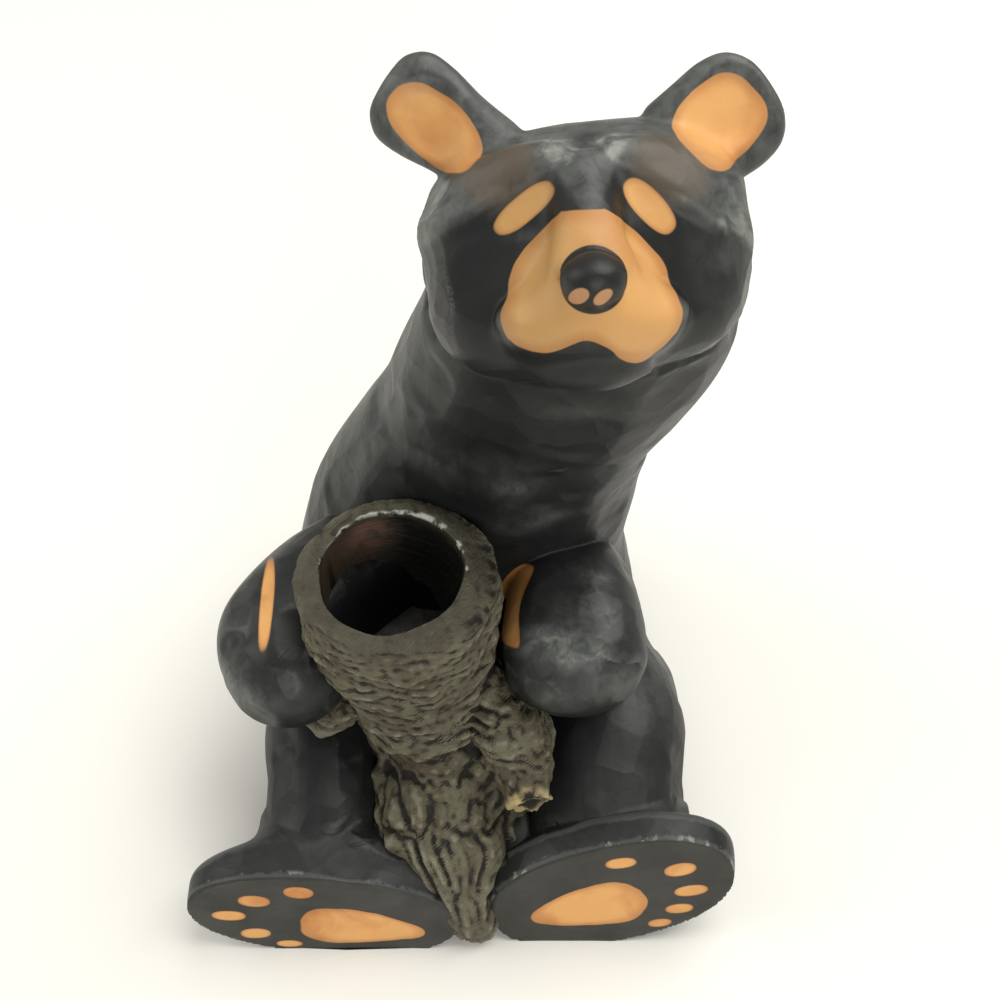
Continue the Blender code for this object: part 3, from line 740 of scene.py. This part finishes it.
def newGroup(name, inputs, outputs):
    tree = bpy.data.node_groups.new(name, "ShaderNodeTree")
    for label, kind, value in inputs:
        made = tree.interface.new_socket(name=label, in_out="INPUT", socket_type="NodeSocket" + kind)
        if value is not None:
            made.default_value = value
    for label, kind in outputs:
        tree.interface.new_socket(name=label, in_out="OUTPUT", socket_type="NodeSocket" + kind)
    return tree, tree.nodes.new("NodeGroupInput").outputs, tree.nodes.new("NodeGroupOutput").inputs


def placeGroup(group, inputs):
    return addNode("ShaderNodeGroup", inputs, node_tree=groups[group]).outputs


def paintPatchGroup():
    # an oval in its own unit axes: wider to one end by Pear, curved by Bend, with a slightly uneven edge:
    # (|x| ^ squareness + |(y - bend x^2) / (1 + pear x)| ^ squareness) ^ (1 / squareness)
    tree, given, result = newGroup("paintPatch", [
        ("Place", "Vector", None), ("Pear", "Float", 0.0), ("Squareness", "Float", 2.0),
        ("Bend", "Float", 0.0), ("Uneven", "Float", 0.0), ("Softness", "Float", 0.03),
    ], [("Mask", "Float"), ("Edge", "Float")])
    x, y, z = partsOf(given["Place"])
    power, softness = given["Squareness"], given["Softness"]
    bent = minus(y, product(given["Bend"], product(x, x)))
    narrow = calc("MAXIMUM", calc("MULTIPLY_ADD", given["Pear"], x, 1.0), 0.05)
    across = calc("ABSOLUTE", calc("DIVIDE", bent, narrow))
    along = calc("POWER", calc("ABSOLUTE", x), power)
    total = calc("ADD", along, calc("POWER", across, power))
    reach = calc("POWER", total, calc("DIVIDE", 1.0, power))
    reach = calc("ADD", given["Uneven"], reach)
    inside = remap(reach, minus(1.0, softness), calc("ADD", 1.0, softness), 1.0, 0.0)
    mask = product(inside, calc("LESS_THAN", calc("ABSOLUTE", z), 1.0))
    tree.links.new(mask, result["Mask"])
    tree.links.new(product(mask, remap(reach, 0.72, 1.0)), result["Edge"])
    return tree


def toolMarksGroup():
    # a height of shallow flats with soft ridges between them, and finer brush streaks over it
    tree, given, result = newGroup("toolMarks", [
        ("Vector", "Vector", None), ("Size", "Float", 150.0), ("Streaks", "Float", 0.25),
    ], [("Height", "Float")])
    flats = addNode("ShaderNodeTexVoronoi", {"Vector": given["Vector"], "Scale": given["Size"]}, feature="F1")
    streaks = noiseAt(given["Vector"], 620.0, 3.0, 0.6)
    height = calc("MULTIPLY_ADD", streaks, given["Streaks"], flats.outputs["Distance"])
    tree.links.new(height, result["Height"])
    return tree


def wearGroup():
    # paint rubbed off or brushed on where Ridge is high, broken up by noise
    tree, given, result = newGroup("edgeWear", [
        ("Vector", "Vector", None), ("Ridge", "Float", 0.0), ("Start", "Float", 0.3),
        ("Full", "Float", 0.7), ("Scale", "Float", 400.0),
    ], [("Mask", "Float")])
    broken = noiseAt(given["Vector"], given["Scale"], 4.0, 0.6)
    total = calc("MULTIPLY_ADD", minus(broken, 0.5), 0.9, given["Ridge"])
    tree.links.new(remap(total, given["Start"], given["Full"]), result["Mask"])
    return tree


def mottleGroup():
    # two colours blended by soft blotches
    tree, given, result = newGroup("mottle", [
        ("Vector", "Vector", None), ("Scale", "Float", 120.0), ("Low", "Float", 0.4),
        ("High", "Float", 0.65), ("First", "Color", None), ("Second", "Color", None),
    ], [("Color", "Color"), ("Mask", "Float")])
    blotches = noiseAt(given["Vector"], given["Scale"], 3.0, 0.55, 0.4)
    mask = remap(blotches, given["Low"], given["High"])
    tree.links.new(blendColour(mask, given["First"], given["Second"]), result["Color"])
    tree.links.new(mask, result["Mask"])
    return tree


groups = {"patch": paintPatchGroup(), "marks": toolMarksGroup(), "wear": wearGroup(), "mottle": mottleGroup()}


def mottled(vector, scale, low, high, first, second):
    return placeGroup("mottle", {
        "Vector": vector, "Scale": scale, "Low": low, "High": high,
        "First": (*first, 1), "Second": (*second, 1)})["Color"]


def wornAt(vector, ridge, start, full, scale):
    inputs = {"Vector": vector, "Ridge": ridge, "Start": start, "Full": full, "Scale": scale}
    return placeGroup("wear", inputs)["Mask"]


def newMaterial(name):
    material = bpy.data.materials.new(name)
    material.use_nodes = True
    shader = material.node_tree.nodes["Principled BSDF"]
    shader.inputs["IOR"].default_value = 1.38
    return material, shader, addNode("ShaderNodeTexCoord", {}, material.node_tree).outputs["Object"]


def finishMaterial(shader, colour, rough, height, strength):
    bump = addNode("ShaderNodeBump", {"Height": height, "Strength": strength, "Distance": 0.0012})
    for label, value in (("Base Color", colour), ("Roughness", rough), ("Normal", bump.outputs[0])):
        shader.id_data.links.new(value, shader.inputs[label])


def patchAxes(centre, normal, turn):
    # axes for a patch, X along it, Y across it and Z out of the surface; with no normal, the head's own
    place = Matrix.Translation(centre)
    spin = Matrix.Rotation(math.radians(turn), 4, "Z")
    if normal is None:
        return headMatrix() @ place @ spin
    out = Vector(normal).normalized()
    along = Vector((1, 0, 0)) - out * out.x
    along.normalize()
    return place @ Matrix((along, out.cross(along), out)).transposed().to_4x4() @ spin


def onSole(x, z, plane):
    front, lean = plane
    return x, front + lean * z, z


# tan paint: name, centre, normal (none in the head's own axes), turn, half sizes, pear, squareness and bend
leftPlane, rightPlane = bear["leftPlane"], bear["rightPlane"]
leftOut, rightOut = (0, -1, leftPlane[1]), (0, -1, rightPlane[1])
tanPatches = [
    ("leftEye", (-8.24, 4.0, 9), None, 35.7, (4.3, 1.55, 8), 0.0, 2.4, 0.0),
    ("rightEye", (6.75, 3.43, 9), None, -48.7, (4.0, 1.7, 8), 0.0, 2.4, 0.0),
    ("leftEar", (-18.74, 14.3, 0), None, -43.6, (6.7, 3.9, 7), 0.0, 2.4, 0.0),
    ("rightEar", (17.1, 12.9, 0), None, 40.5, (5.95, 4.9, 7), -0.04, 2.8, 0.0),
    ("leftNostril", (-2.9, -5.55, 24), None, 30, (1.15, 0.9, 5), 0.0, 2.0, 0.0),
    ("rightNostril", (-0.2, -5.75, 24), None, 34, (1.2, 0.75, 5), 0.0, 2.0, 0.0),
    ("leftPad", onSole(-20.8, 6.6, leftPlane), leftOut, -7, (10.9, 4.8, 2), -0.4, 2.3, -0.1),
    ("rightPad", onSole(19.3, 9.3, rightPlane), rightOut, 16, (10.4, 5.2, 2), 0.38, 2.3, -0.1),
    ("rightStripe", (4.9, 1.9, 52.6), (-0.005, -0.530, 0.853), 78, (7.1, 2.25, 14), 0.0, 2.8, -1.1),
    ("leftStripe", (-35.0, 1.2, 53.5), (0.190, -0.533, 0.850), 86, (7.5, 1.05, 12), 0.0, 2.6, 0.0),
]
# toes: place across and height on the sole, turn, half length and half height
toes = {
    "left": [(-31.1, 16.6, -6, 2.5, 1.6), (-39.1, 14.2, -4, 2.75, 1.6), (-44.1, 10.0, -2, 2.95, 1.4),
             (-40.0, 4.7, 3, 2.65, 1.5), (-34.3, 1.6, 0, 2.3, 1.0)],
    "right": [(24.46, 20.5, 10, 2.65, 1.35), (34.85, 18.9, 17, 2.7, 1.6), (37.2, 13.6, 11, 2.9, 1.4),
              (35.5, 8.9, 8, 2.45, 1.25), (32.4, 5.1, 10, 2.0, 1.05)],
}
for label, plane, out in (("left", leftPlane, leftOut), ("right", rightPlane, rightOut)):
    for letter, (x, z, turn, long, high) in zip("ABCDE", toes[label]):
        tanPatches.append((f"{label}Toe{letter}", onSole(x, z, plane), out, turn, (long, high, 2),
                           0.0, 2.2, 0.0))

# the muzzle's outline: width against height on each side, and the lower edge's height across the face
muzzlePaint = {
    "span": 20, "middle": -0.9, "top": 3.5,
    "left": [(-16, 8.8), (-12, 9.4), (-10.2, 10.4), (-8.3, 10.8), (-6.2, 10.0), (-3.8, 9.5), (-1.1, 7.8),
             (1.1, 5.6), (2.7, 3.9), (5, 1.5)],
    "right": [(-16, 5.8), (-13.3, 8.2), (-11.3, 10.0), (-9.0, 10.8), (-7.6, 10.4), (-5.6, 9.7), (-3.9, 9.4),
              (-1.2, 7.4), (1.5, 4.7), (3.4, 2.1)],
    "lower": [(-14, -9.0), (-11.3, -10.6), (-9.7, -11.9), (-7.7, -12.6), (-5.4, -12.5), (-3.4, -11.5),
              (-1.9, -11.1), (0.3, -12.2), (2.7, -14.3), (4.9, -15.0), (7.1, -13.5), (9.1, -11.3), (12, -9.0)],
}


def curveOf(value, points):
    made = addNode("ShaderNodeFloatCurve", {"Factor": 1.0, "Value": value})
    curve = made.mapping.curves[0]
    for _ in points[2:]:
        curve.points.new(0.5, 0.5)
    for spot, place in zip(curve.points, points):
        spot.location = place
    made.mapping.update()
    return made.outputs[0]


def muzzleMask(coordinates):
    # a mask of the muzzle's paint, and one of its edge
    span = muzzlePaint["span"]
    place = placeIn(coordinates, headMatrix(), (span,) * 3)
    wobble = product(minus(noiseAt(place, 5.0, 1.0), 0.5), 0.03)
    across, up, out = partsOf(place)

    # places from -span to span become 0 to 1, and so do widths from 0 to span
    def level(value):
        return 0.5 + 0.5 * value / span

    height = calc("MULTIPLY_ADD", up, 0.5, 0.5)
    side = calc("MULTIPLY_ADD", across, 0.5, 0.5)
    left, right = (curveOf(height, [(level(h), w / span) for h, w in muzzlePaint[label]])
                   for label in ("left", "right"))
    lower = curveOf(side, [(level(x), level(h)) for x, h in muzzlePaint["lower"]])
    fromMiddle = minus(across, muzzlePaint["middle"] / span)
    sides = calc("MINIMUM", calc("ADD", left, fromMiddle), minus(right, fromMiddle))
    lowGap = product(minus(height, lower), 2.0)
    topGap = minus(muzzlePaint["top"] / span, up)
    gap = calc("MINIMUM", sides, calc("MINIMUM", lowGap, topGap))
    gap = calc("ADD", gap, wobble)
    mask = product(remap(gap, -0.006, 0.006), calc("GREATER_THAN", out, 0.15))
    return mask, product(mask, remap(gap, 0.1, 0.0))


bearPaint = {
    # grey and pale colour the brushwork and the painted highlights and reflections; pale also the chips on the
    # soles' rims
    "black": (0.0072, 0.0078, 0.0080), "greyAndLight": (0.085, 0.090, 0.084), "paleAndHighlight": (0.21, 0.215, 0.19),
    "sole": (0.034, 0.033, 0.028), "soleDark": (0.0255, 0.02475, 0.021), "brown": (0.078, 0.060, 0.040),
    "tan": (0.68, 0.345, 0.115), "tanDark": (0.50, 0.20, 0.055), "tanDullAndShaded": (0.44, 0.252, 0.090),
    "tanEdge": (0.30, 0.09, 0.02), "nose": (0.010, 0.010, 0.009), "nostril": (0.36, 0.18, 0.10),
    "roughness": 0.42, "tanRoughness": 0.46, "washes": [(-11.4, 9.4, 8.0), (9.9, 8.4, 8.8)],
}


def bearMaterial():
    material, shader, coordinates = newMaterial("bearPaint")
    x, y, z = partsOf(coordinates)
    streaks = noiseAt(stretched(coordinates, 0.35), 420.0, 4.0, 0.65, 0.6)
    blotches = noiseAt(coordinates, 110.0, 3.0, 0.55)
    # grey brushwork together with painted highlights and reflections from the brushed attribute; the palest is
    # painted highlight
    brushAndLight = product(attributeOf(material, "brushed"), remap(streaks, 0.28, 0.66, 0.35, 1.0),
                    remap(blotches, 0.25, 0.6, 0.55, 1.0))
    worn = wornAt(coordinates, attributeOf(material, "ridge"), 0.35, 0.95, 260.0)
    brushAndLight = calc("MAXIMUM", brushAndLight, product(worn, 0.55))
    greyAndLight = remap(brushAndLight, 0.0, 1.0, kind="LINEAR")
    colour = blendColour(greyAndLight, bearPaint["black"], bearPaint["greyAndLight"])
    colour = blendColour(remap(brushAndLight, 0.85, 1.9), colour, bearPaint["paleAndHighlight"])

    # a brown wash at the foot of each ear
    for centre in bearPaint["washes"]:
        away = distanceTo(coordinates, headMatrix() @ Vector(centre))
        wash = product(fade(away, 3.0, 6.8, 0.95, 0.0), remap(streaks, 0.25, 0.5, 0.3, 1.0))
        colour = blendColour(wash, colour, bearPaint["brown"])

    # the flat soles are a plain grey, and the rim behind them is chipped
    flats = chipped = 0.0
    low = calc("LESS_THAN", z, bear["soleTop"] * share)
    for side, (front, lean) in ((-1, leftPlane), (1, rightPlane)):
        behind = minus(y, calc("MULTIPLY_ADD", z, lean, (front + 0.25) * share))
        onSide = product(calc("GREATER_THAN", product(x, side), 0.0), low)
        flats = calc("MAXIMUM", flats, product(fade(behind, 0.0, 0.22, 1.0, 0.0), onSide))
        rim = product(fade(behind, 1.5, 0.4), onSide, fade(z, 9, 13))
        chipped = calc("MAXIMUM", chipped, rim)
    flakes = remap(noiseAt(coordinates, 330.0, 3.0, 0.6), 0.56, 0.66)
    colour = blendColour(product(chipped, flakes), colour, bearPaint["paleAndHighlight"])
    soleGrey = blendColour(remap(blotches, 0.3, 0.7), bearPaint["sole"], bearPaint["soleDark"])
    colour = blendColour(flats, colour, soleGrey)

    tan, edge = muzzleMask(coordinates)
    nostrils = 0.0
    uneven = remap(noiseAt(coordinates, 200.0, 1.0), 0.2, 0.8, -0.045, 0.045, "LINEAR")
    for name, centre, normal, turn, half, pear, squareness, bend in tanPatches:
        made = placeGroup("patch", {
            "Place": placeIn(coordinates, patchAxes(centre, normal, turn), half, name=name, label=name),
            "Pear": pear, "Squareness": squareness, "Bend": bend, "Uneven": uneven, "Softness": 0.1 / half[1]})
        if "Nostril" in name:
            nostrils = calc("MAXIMUM", nostrils, made["Mask"])
        else:
            tan = calc("MAXIMUM", tan, made["Mask"])
            edge = calc("MAXIMUM", edge, made["Edge"])

    # the nose stays black but for its nostrils
    nose = fade(distanceTo(coordinates, headMatrix() @ Vector(head["nose"])), 3.85, 4.05, 1.0, 0.0)
    colour = blendColour(nose, colour, bearPaint["nose"])
    tan = calc("MAXIMUM", product(tan, minus(1.0, nose)), nostrils)

    # the tan is duller on the head than on the soles, and darker to the left as painted shade, most of all on
    # the muzzle's left half
    paint = mottled(coordinates, 95.0, 0.42, 0.75, bearPaint["tan"], bearPaint["tanDark"])
    dullAndShaded = product(fade(z, 60, 90), fade(x, 19, 9, 0.45, 0.9), fade(y, 14, 20, 1.0, 0.5))
    paint = blendColour(dullAndShaded, paint, bearPaint["tanDullAndShaded"])
    paint = blendColour(product(edge, 0.45), paint, bearPaint["tanEdge"])
    paint = blendColour(product(nostrils, 0.7), paint, bearPaint["nostril"])
    colour = blendColour(tan, colour, paint)

    rough = remap(blotches, 0.25, 0.75, bearPaint["roughness"] - 0.05, bearPaint["roughness"] + 0.08)
    for mask, change in ((tan, bearPaint["tanRoughness"] - bearPaint["roughness"]), (flats, 0.1), (nose, 0.02)):
        rough = calc("MULTIPLY_ADD", mask, change, rough)
    marks = placeGroup("marks", {"Vector": coordinates, "Size": 150.0, "Streaks": 0.12})["Height"]
    finishMaterial(shader, colour, rough, marks, 0.35)
    return material


# the painted reflection's place is counted from the socket's middle and mouth, and the knot is the lopped
# branch's end
barkPaint = {
    "dark": (0.014, 0.012, 0.008), "olive": (0.128, 0.118, 0.074), "brown": (0.084, 0.068, 0.041),
    "light": (0.24, 0.235, 0.17), "bore": (0.006, 0.006, 0.005), "boreLitLeft": (0.062, 0.044, 0.030),
    "boreReflection": (0.14, 0.075, 0.055), "floor": (0.045, 0.043, 0.036), "rim": (0.050, 0.047, 0.034),
    "worn": (0.55, 0.55, 0.48), "knot": (0.42, 0.33, 0.16),
    "reflectionAt": (-4.6, 10.3, -5.0), "knotAt": (9.0, -22.4, 25.5),
}


def barkMaterial():
    material, shader, coordinates = newMaterial("barkPaint")
    x, y, z = partsOf(coordinates)
    mouth, radius = socket["mouth"], socket["radius"]
    floor = mouth - socket["depth"]
    base = mottled(coordinates, 130.0, 0.35, 0.65, barkPaint["olive"], barkPaint["brown"])
    warped = stretched(coordinates, 2.2)
    fine = noiseAt(warped, 300.0, 6.0, 0.62, 1.2)
    fibres = noiseAt(warped, 900.0, 4.0, 0.6)
    low = calc("MULTIPLY_ADD", minus(fine, 0.5), 1.1, attributeOf(material, "ridge"))
    colour = blendColour(remap(low, 0.08, -0.42), base, barkPaint["dark"])
    brushed = wornAt(coordinates, low, 0.25, 0.85, 500.0)
    colour = blendColour(product(brushed, 0.6), colour, barkPaint["light"])

    # inside the socket, brown to its left as painted light and black to its right as painted shade, and a
    # reddish painted reflection high at the back left
    flat = addNode("ShaderNodeCombineXYZ", {0: x, 1: y}).outputs[0]
    away = distanceTo(flat, (stump["x"], stump["y"], 0.0))
    inside = product(calc("LESS_THAN", away, (radius + 0.45) * share),
                     calc("GREATER_THAN", z, (floor - 0.4) * share), fade(z, mouth - 0.2, mouth - 1.6))
    # the left wall's brown is painted light, the right wall's black painted shade
    litLeft = fade(x, stump["x"] + 3.0, stump["x"] - 7.0)
    boreColour = blendColour(litLeft, barkPaint["bore"], barkPaint["boreLitLeft"])
    # a reddish painted reflection of a lamp, high on the back left wall
    fromReflection = distanceTo(coordinates, Vector((stump["x"], stump["y"], mouth)) + Vector(barkPaint["reflectionAt"]))
    boreReflection = product(fade(fromReflection, 6.5, 1.0), remap(noiseAt(coordinates, 240.0, 3.0), 0.35, 0.6))
    boreColour = blendColour(boreReflection, boreColour, barkPaint["boreReflection"])
    atFloor = calc("LESS_THAN", z, (floor + 0.4) * share)
    boreColour = blendColour(atFloor, boreColour, barkPaint["floor"])
    colour = blendColour(inside, colour, boreColour)

    # the rim is darker than the bark, and worn pale along its inner edge, most of all at the back
    onRim = product(fade(z, mouth - 2.6, mouth - 1.0), fade(away, radius - 0.2, radius))
    colour = blendColour(product(onRim, 0.5), colour, barkPaint["rim"])
    offRadius = calc("ABSOLUTE", minus(away, (radius + 0.35) * share))
    offHeight = calc("ABSOLUTE", minus(z, (mouth - 0.1) * share))
    lip = fade(calc("ADD", offRadius, offHeight), 0.35, 0.95, 1.0, 0.0)
    backward = product(minus(y, stump["y"] * share), 0.11 / (radius * share))
    patchy = calc("ADD", noiseAt(coordinates, 200.0, 3.0, 0.6), backward)
    colour = blendColour(product(lip, remap(patchy, 0.56, 0.62)), colour, barkPaint["worn"])

    # the torn end of the lopped branch shows a ring of pale wood round a dark heart
    heart = distanceTo(coordinates, barkPaint["knotAt"])
    torn = product(fade(heart, 1.6, 2.8), fade(heart, 5.2, 4.0),
                   remap(low, -0.25, 0.35), fade(y, -20.0, -22.0))
    colour = blendColour(fade(heart, 2.6, 1.2), colour, barkPaint["dark"])
    colour = blendColour(torn, colour, barkPaint["knot"])

    rough = calc("ADD", inside, product(fine, 0.3))
    rough = remap(rough, 0.0, 1.2, 0.62, 0.32)
    height = calc("MULTIPLY_ADD", fibres, 0.35, fine)
    height = product(height, minus(1.0, product(inside, 0.7)))
    finishMaterial(shader, colour, rough, height, 0.8)
    return material


def addPiece(name, mesh, material):
    mesh.name = name
    mesh.materials.clear()
    mesh.materials.append(material)
    mesh.shade_smooth()
    piece = newObject(name, mesh)
    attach(piece, "root")
    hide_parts("bear_with_stump")
    return piece


addPiece("bear", makeBear(), bearMaterial())
addPiece("stump", makeStump(), barkMaterial())
print("pieces placed")


# floor, light and camera

# each lamp: place, target, size, power and colour
studio = {
    "floor": (0.79, 0.775, 0.725), "world": 0.46, "sky": (1.0, 0.995, 0.96),
    "lamps": {
        "key": ((0.30, 0.24, 0.8), (0, 0, 0.06), 0.8, 7.4, (1.0, 0.99, 0.95)),
        "fill": ((-0.6, 0.1, 0.5), (0, 0, 0.06), 0.6, 2.0, (1.0, 0.99, 0.96)),
        "front": ((0.2, -0.8, 0.32), (0, 0, 0.04), 0.5, 3.0, (1.0, 1.0, 0.97)),
    },
    "camera": (3.7, -105.0, 222.8), "tilt": 37, "lens": 43.2,
}


def makeFloor():
    corners = np.array([(-1.5, -1.5, 0), (1.5, -1.5, 0), (1.5, 2.5, 0), (-1.5, 2.5, 0)]) / share
    mesh = meshOf("floor", corners, np.array([[0, 1, 2, 3]]))
    material = bpy.data.materials.new("paleFloor")
    material.use_nodes = True
    shader = material.node_tree.nodes["Principled BSDF"]
    shader.inputs["Base Color"].default_value = (*studio["floor"], 1)
    shader.inputs["Roughness"].default_value = 0.8
    mesh.materials.append(material)
    floor = newObject("floor", mesh)


def softLight(name, place, target, size, power, colour):
    lamp = bpy.data.lights.new(name, "AREA")
    lamp.shape = "DISK"
    lamp.size = size
    lamp.energy = power
    lamp.color = colour
    holder = newObject(name, lamp)
    holder.location = place
    holder.rotation_euler = (Vector(target) - Vector(place)).to_track_quat("-Z", "Y").to_euler()


makeFloor()
for label, lamp in studio["lamps"].items():
    softLight(label, *lamp)
world = bpy.data.worlds.new("studio")
bpy.context.scene.world = world
world.use_nodes = True
world.node_tree.nodes["Background"].inputs[0].default_value = (*studio["sky"], 1)
world.node_tree.nodes["Background"].inputs[1].default_value = studio["world"]
bpy.context.scene.view_settings.view_transform = "Standard"

cameraData = bpy.data.cameras.new("camera")
cameraData.lens = studio["lens"]
cameraData.sensor_width = 36
cameraData.clip_start = 0.01
camera = newObject("camera", cameraData)
camera.location = [v * share for v in studio["camera"]]
camera.rotation_euler = (math.radians(studio["tilt"]), 0, 0)
bpy.context.scene.camera = camera
